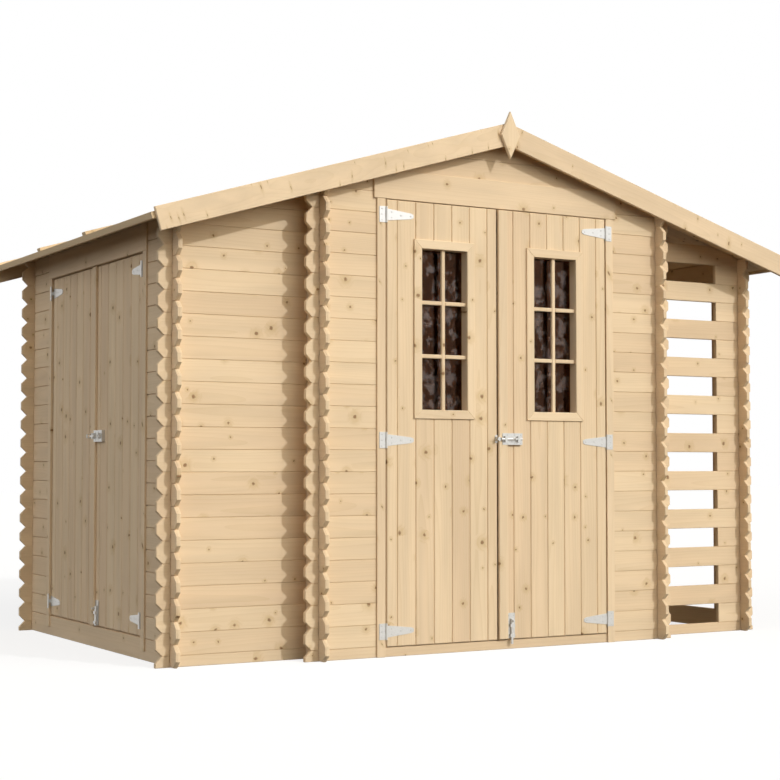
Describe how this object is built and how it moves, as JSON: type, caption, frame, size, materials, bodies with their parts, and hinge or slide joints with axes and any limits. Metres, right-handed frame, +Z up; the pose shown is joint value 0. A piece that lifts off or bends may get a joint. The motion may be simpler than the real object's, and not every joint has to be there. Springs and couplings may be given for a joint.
{
  "type": "garden shed with log store",
  "caption": "Log-built pine garden shed with glazed double doors, a side store with its own double doors, and an open slatted log bay under one shallow roof.",
  "frame": {"origin": "centre of the plan at ground level", "axes": "+X along the front towards the log bay, +Y from the glazed doors to the back, +Z up"},
  "size_m": [3.2958, 2.152, 2.3206],
  "materials": {
    "wall_pine": "planed, untreated",
    "door_pine": "planed, untreated",
    "planed_pine": "planed, untreated",
    "roof_pine": "planed, untreated",
    "zinc_fittings": "bright zinc plate",
    "window_glass": "clear"
  },
  "bodies": {
    "root": {"front_wall_piers": "wall_pine", "front_gable": "wall_pine", "front_sill": "wall_pine", "back_wall": "wall_pine", "partitions": "wall_pine", "left_bay_end_walls": "wall_pine", "left_wall_piers": "wall_pine", "left_wall_header": "wall_pine", "log_bay_slats": "wall_pine", "log_side_returns": "wall_pine", "log_side_header": "wall_pine", "side_sills": "wall_pine", "roof_left_boards": "roof_pine", "roof_right_boards": "roof_pine", "ridge_beam": "wall_pine", "left_bargeboards": "planed_pine", "right_bargeboards": "planed_pine", "finials": "planed_pine", "eave_strips": "roof_pine", "roof_battens": "roof_pine", "front_door_posts": "planed_pine", "front_head_board": "planed_pine", "side_door_posts": "planed_pine", "side_head_board": "planed_pine", "front_hinge_plates": "zinc_fittings", "side_hinge_plates": "zinc_fittings"},
    "front_left_door": {"front_left_leaf": "door_pine", "front_left_ledges": "door_pine", "front_left_window_frame": "planed_pine", "front_left_glass": "window_glass", "front_left_fittings": "zinc_fittings"},
    "front_right_door": {"front_right_leaf": "door_pine", "front_right_ledges": "door_pine", "front_right_window_frame": "planed_pine", "front_right_glass": "window_glass", "front_right_strip": "planed_pine", "front_right_fittings": "zinc_fittings"},
    "side_front_door": {"side_front_leaf": "door_pine", "side_front_ledges": "door_pine", "side_front_strip": "planed_pine", "side_front_fittings": "zinc_fittings"},
    "side_back_door": {"side_back_leaf": "door_pine", "side_back_ledges": "door_pine", "side_back_fittings": "zinc_fittings"}
  },
  "joints": [
    {"name": "front_left_swing", "type": "hinge", "parent": "root", "child": "front_left_door", "pos_m": [-0.5725, -0.9943, 0.9], "axis": [0, 0, -1], "range_deg": [0, 150]},
    {"name": "front_right_swing", "type": "hinge", "parent": "root", "child": "front_right_door", "pos_m": [0.5725, -0.9943, 0.9], "axis": [0, 0, 1], "range_deg": [0, 150]},
    {"name": "side_front_swing", "type": "hinge", "parent": "root", "child": "side_front_door", "pos_m": [-1.4943, -0.5725, 0.9], "axis": [0, 0, 1], "range_deg": [0, 150]},
    {"name": "side_back_swing", "type": "hinge", "parent": "root", "child": "side_back_door", "pos_m": [-1.4943, 0.5725, 0.9], "axis": [0, 0, -1], "range_deg": [0, 150]}
  ]
}
